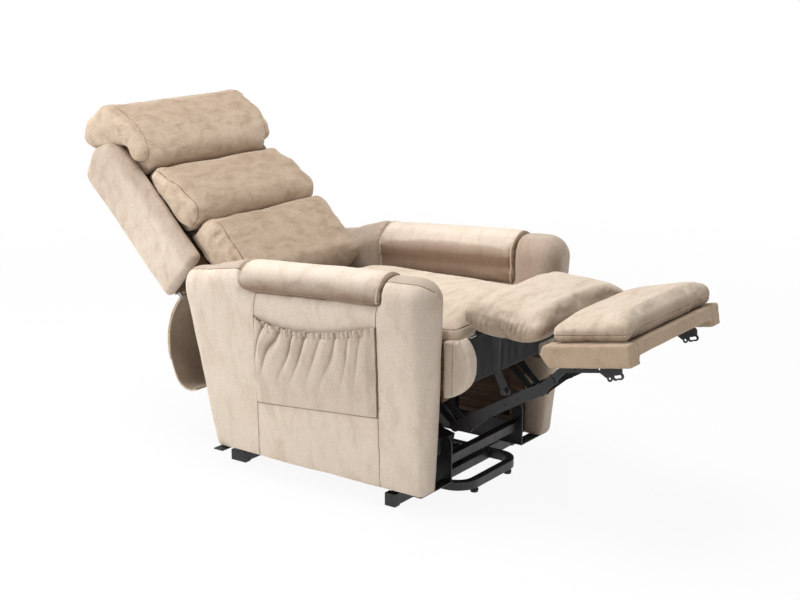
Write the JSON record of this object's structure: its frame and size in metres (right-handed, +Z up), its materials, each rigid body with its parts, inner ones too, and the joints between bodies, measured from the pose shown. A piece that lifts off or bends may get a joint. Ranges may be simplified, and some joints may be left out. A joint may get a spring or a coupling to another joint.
{
  "type": "recliner armchair",
  "caption": "Upholstered power lift recliner armchair with a reclining back, extended leg rest, padded arms and an open steel lift base.",
  "frame": {"origin": "on the floor, under the middle of the lowered, reclined chair with its leg rest out", "axes": "+X to the sitter's left, the chair faces -Y, +Y runs along the reclined chair towards its back, +Z up"},
  "size_m": [0.804, 1.8299, 1.002],
  "materials": {
    "velour": "short-pile velour, matt",
    "frame_wood": "raw softwood and board",
    "dust_cloth": "black non-woven cloth",
    "black_steel": "satin black powder coat",
    "zinc_steel": "zinc plated",
    "rubber": "matt",
    "black_moulding": "fine matt"
  },
  "bodies": {
    "floor_base": {"base_front_loop": "black_steel", "base_side_rails": "black_steel", "front_floor_bar": "black_steel", "rear_floor_bar": "black_steel", "floor_bar_end_caps": "black_moulding", "rubber_glides": "rubber", "base_pivot_ears": "black_steel", "base_pivot_pins": "zinc_steel"},
    "rear_lift_arms": {"rear_lift_arms": "black_steel"},
    "front_lift_arms": {"front_lift_arms": "black_steel"},
    "lift_motor_body": {"lift_motor": "black_moulding"},
    "lift_rod_body": {"lift_motor_rod": "zinc_steel"},
    "chassis": {"lift_side_plates": "black_steel", "lift_cross_tubes": "black_steel", "lift_pivot_brackets": "black_steel", "arm_support_flats": "black_steel", "lift_frame_pins": "zinc_steel", "seat_side_rails": "frame_wood", "seat_cross_rails": "frame_wood", "seat_front_pads": "velour", "front_dust_cloth": "dust_cloth", "seat_springs": "zinc_steel", "seat_cushion": "velour", "arm_side_frames": "frame_wood", "left_arm_cover": "velour", "right_arm_cover": "velour", "arm_top_pads": "velour", "side_pocket": "velour", "leg_mechanism_plates": "black_steel", "leg_mechanism_pins": "zinc_steel", "motor_mount_tubes": "black_steel", "back_bearing_plates": "black_steel", "control_box": "black_moulding", "leg_pad_hinge_rod": "zinc_steel"},
    "leg_drive": {"leg_drive_links": "black_steel"},
    "leg_guides": {"leg_guide_links": "black_steel"},
    "leg_links": {"leg_long_links": "black_steel", "leg_link_pins": "zinc_steel"},
    "pad_struts": {"pad_struts": "black_steel"},
    "footrest": {"foot_board": "frame_wood", "foot_board_cover": "velour", "foot_pillow": "velour", "foot_bracket_arms": "black_steel"},
    "leg_pad": {"leg_pad": "velour", "leg_pad_board": "dust_cloth"},
    "leg_motor_body": {"leg_motor": "black_moulding"},
    "leg_rod_body": {"leg_motor_rod": "zinc_steel"},
    "back": {"back_torque_tube": "black_steel", "back_frame_rails": "frame_wood", "back_cross_rails": "frame_wood", "back_bolsters": "velour", "back_rear_panel": "velour", "head_pillow": "velour", "middle_pillow": "velour", "lumbar_pillow": "velour", "skirt_rod": "zinc_steel"},
    "rear_skirt": {"rear_skirt": "velour"},
    "back_motor_body": {"back_motor": "black_moulding"},
    "back_rod_body": {"back_motor_rod": "zinc_steel"}
  },
  "joints": [
    {"name": "lift", "type": "hinge", "parent": "floor_base", "child": "rear_lift_arms", "pos_m": [0, 0.1887, 0.06], "axis": [-1, 0, 0], "range_deg": [0, 50]},
    {"name": "seat_tilt", "type": "hinge", "parent": "rear_lift_arms", "child": "chassis", "pos_m": [0, -0.0936, 0.065], "axis": [1, 0, 0], "range_deg": [0, 75]},
    {"name": "front_arm_swing", "type": "hinge", "parent": "floor_base", "child": "front_lift_arms", "pos_m": [0, 0.073, 0.11], "axis": [-1, 0, 0], "range_deg": [0, 58.7]},
    {"name": "lift_motor_swing", "type": "hinge", "parent": "floor_base", "child": "lift_motor_body", "pos_m": [0, -0.247, 0.072], "axis": [-1, 0, 0], "range_deg": [0, 2.04]},
    {"name": "lift_rod_swing", "type": "hinge", "parent": "rear_lift_arms", "child": "lift_rod_body", "pos_m": [0, 0.147, 0.151], "axis": [1, 0, 0], "range_deg": [0, 47.96]},
    {"name": "leg_rest", "type": "hinge", "parent": "chassis", "child": "leg_drive", "pos_m": [0, -0.148, 0.4212], "axis": [1, 0, 0], "range_deg": [0, 71.7]},
    {"name": "guide_swing", "type": "hinge", "parent": "chassis", "child": "leg_guides", "pos_m": [0, -0.1871, 0.4234], "axis": [1, 0, 0], "range_deg": [0, 71.5]},
    {"name": "long_link_swing", "type": "hinge", "parent": "leg_drive", "child": "leg_links", "pos_m": [0, -0.383, 0.225], "axis": [1, 0, 0], "range_deg": [-66.7, 0]},
    {"name": "strut_fold", "type": "hinge", "parent": "leg_links", "child": "pad_struts", "pos_m": [0, -0.535, 0.35], "axis": [1, 0, 0], "range_deg": [0, 90]},
    {"name": "foot_board_fold", "type": "hinge", "parent": "leg_links", "child": "footrest", "pos_m": [0, -0.68, 0.41], "axis": [1, 0, 0], "range_deg": [0, 92]},
    {"name": "leg_pad_swing", "type": "hinge", "parent": "chassis", "child": "leg_pad", "pos_m": [0, -0.44, 0.484], "axis": [1, 0, 0], "range_deg": [0, 68]},
    {"name": "leg_motor_swing", "type": "hinge", "parent": "chassis", "child": "leg_motor_body", "pos_m": [0, 0.185, 0.352], "axis": [1, 0, 0], "range_deg": [0, 0.8]},
    {"name": "leg_rod_swing", "type": "hinge", "parent": "leg_drive", "child": "leg_rod_body", "pos_m": [0, -0.1942, 0.3684], "axis": [1, 0, 0], "range_deg": [-70.9, 0]},
    {"name": "recline", "type": "hinge", "parent": "chassis", "child": "back", "pos_m": [0, 0.282, 0.42], "axis": [1, 0, 0], "range_deg": [0, 33]},
    {"name": "skirt_hang", "type": "hinge", "parent": "back", "child": "rear_skirt", "pos_m": [0, 0.5617, 0.4536], "axis": [1, 0, 0], "range_deg": [-33, 0]},
    {"name": "back_motor_swing", "type": "hinge", "parent": "chassis", "child": "back_motor_body", "pos_m": [0, 0, 0.32], "axis": [1, 0, 0], "range_deg": [0, 0.87]},
    {"name": "back_rod_swing", "type": "hinge", "parent": "back", "child": "back_rod_body", "pos_m": [0, 0.256, 0.313], "axis": [1, 0, 0], "range_deg": [-32.13, 0]}
  ],
  "couplings": [
    {"joint": "seat_tilt", "follows": "lift", "ratio": 1.5},
    {"joint": "front_arm_swing", "follows": "lift", "ratio": 1.174},
    {"joint": "lift_motor_swing", "follows": "lift", "ratio": 0.0408},
    {"joint": "lift_rod_swing", "follows": "lift", "ratio": 0.9592},
    {"joint": "guide_swing", "follows": "leg_rest", "ratio": 0.9972},
    {"joint": "long_link_swing", "follows": "leg_rest", "ratio": -0.9302},
    {"joint": "strut_fold", "follows": "leg_rest", "ratio": 1.255},
    {"joint": "foot_board_fold", "follows": "leg_rest", "ratio": 1.283},
    {"joint": "leg_pad_swing", "follows": "leg_rest", "ratio": 0.948},
    {"joint": "leg_motor_swing", "follows": "leg_rest", "ratio": 0.01115},
    {"joint": "leg_rod_swing", "follows": "leg_rest", "ratio": -0.9888},
    {"joint": "skirt_hang", "follows": "recline", "ratio": -1},
    {"joint": "back_motor_swing", "follows": "recline", "ratio": 0.02636},
    {"joint": "back_rod_swing", "follows": "recline", "ratio": -0.9736}
  ]
}
